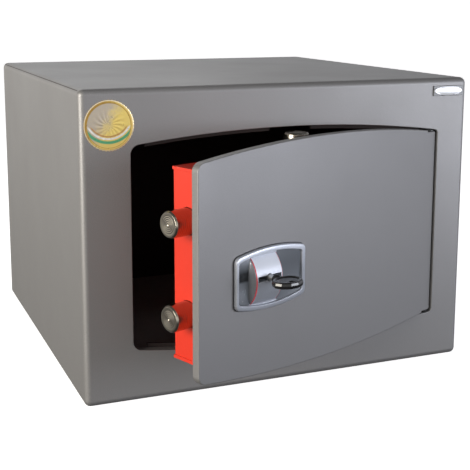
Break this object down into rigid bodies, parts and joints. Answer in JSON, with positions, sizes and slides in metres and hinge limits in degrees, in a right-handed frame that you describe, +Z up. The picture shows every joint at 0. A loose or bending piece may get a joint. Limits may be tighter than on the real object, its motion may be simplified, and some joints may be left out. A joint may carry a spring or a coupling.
{
  "type": "key-lock safe",
  "caption": "Free-standing steel safe with a barrel-shaped door standing ajar, a key lock, sliding side, top and bottom bolts, and anchor holes.",
  "frame": {"origin": "middle of the base's underside, under the body's centre; the open door is left out of that centre", "axes": "+X to the right as seen from the front, +Y from the front to the back, +Z up; the front faces -Y"},
  "size_m": [0.4, 0.5177, 0.292],
  "materials": {
    "body_paint": "satin textured dark grey",
    "red_paint": "gloss red",
    "zinc_steel": "zinc plated",
    "nickel": "turned and nickel plated",
    "brass": "machined",
    "felt": "needled felt",
    "gold_foil": "metallic foil",
    "black_plastic": "moulded",
    "silver_cast": "satin lacquered"
  },
  "bodies": {
    "root": {"front_frame": "body_paint", "casing_shell": "body_paint", "back_panel": "body_paint", "door_stop_top": "body_paint", "door_stop_bottom": "body_paint", "strike_side": "body_paint", "strike_top": "body_paint", "strike_bottom": "body_paint", "hinge_pin_upper": "zinc_steel", "hinge_pin_lower": "zinc_steel", "hinge_washers": "black_plastic", "floor_mat": "felt", "seal_sticker": "gold_foil", "badge_plate": "black_plastic", "badge_oval": "silver_cast"},
    "door": {"door_plate": "body_paint", "lock_case": "red_paint", "case_cap_top": "red_paint", "case_cap_bottom": "red_paint", "case_posts": "zinc_steel", "case_screws": "zinc_steel", "bolt_bushes": "black_plastic", "hinge_side_bar": "zinc_steel", "rod_guides": "zinc_steel", "guide_studs": "zinc_steel", "escutcheon_frame": "silver_cast", "escutcheon_windows": "black_plastic", "escutcheon_bulge": "silver_cast", "escutcheon_stripes": "red_paint", "escutcheon_studs": "zinc_steel", "drill_shield": "zinc_steel", "lock_body": "zinc_steel", "lock_cover": "zinc_steel", "lock_screws": "zinc_steel", "lever_pack": "brass", "lever_post": "zinc_steel"},
    "carriage": {"bolt_carriage": "zinc_steel", "side_bolt_upper": "nickel", "side_bolt_lower": "nickel", "bolt_screws": "zinc_steel", "lock_bolt": "brass"},
    "top_bolt": {"top_rod": "zinc_steel", "top_bolt": "nickel"},
    "bottom_bolt": {"bottom_rod": "zinc_steel", "bottom_bolt": "nickel"},
    "curtain": {"key_curtain": "brass"},
    "key": {"key_blade": "nickel", "key_bow": "black_plastic"}
  },
  "joints": [
    {"name": "door_swing", "type": "hinge", "parent": "root", "child": "door", "pos_m": [0.159, -0.192, 0.145], "axis": [0, 0, 1], "range_deg": [-20.5, 84.5]},
    {"name": "carriage_slide", "type": "slide", "parent": "door", "child": "carriage", "axis": [-0.9367, -0.3502, 0], "range_m": [0, 0.016]},
    {"name": "top_bolt_slide", "type": "slide", "parent": "door", "child": "top_bolt", "axis": [0, 0, 1], "range_m": [0, 0.016]},
    {"name": "bottom_bolt_slide", "type": "slide", "parent": "door", "child": "bottom_bolt", "axis": [0, 0, -1], "range_m": [0, 0.016]},
    {"name": "key_turn", "type": "hinge", "parent": "door", "child": "curtain", "pos_m": [-0.06159, -0.27875, 0.134], "axis": [0.3502, -0.9367, 0], "range_deg": [0, 180]},
    {"name": "key_out", "type": "slide", "parent": "curtain", "child": "key", "axis": [0.3502, -0.9367, 0], "range_m": [0, 0.06]}
  ],
  "couplings": [
    {"joint": "top_bolt_slide", "follows": "carriage_slide", "ratio": 1},
    {"joint": "bottom_bolt_slide", "follows": "carriage_slide", "ratio": 1},
    {"joint": "key_turn", "follows": "carriage_slide", "rad_per_m": 196.3}
  ]
}
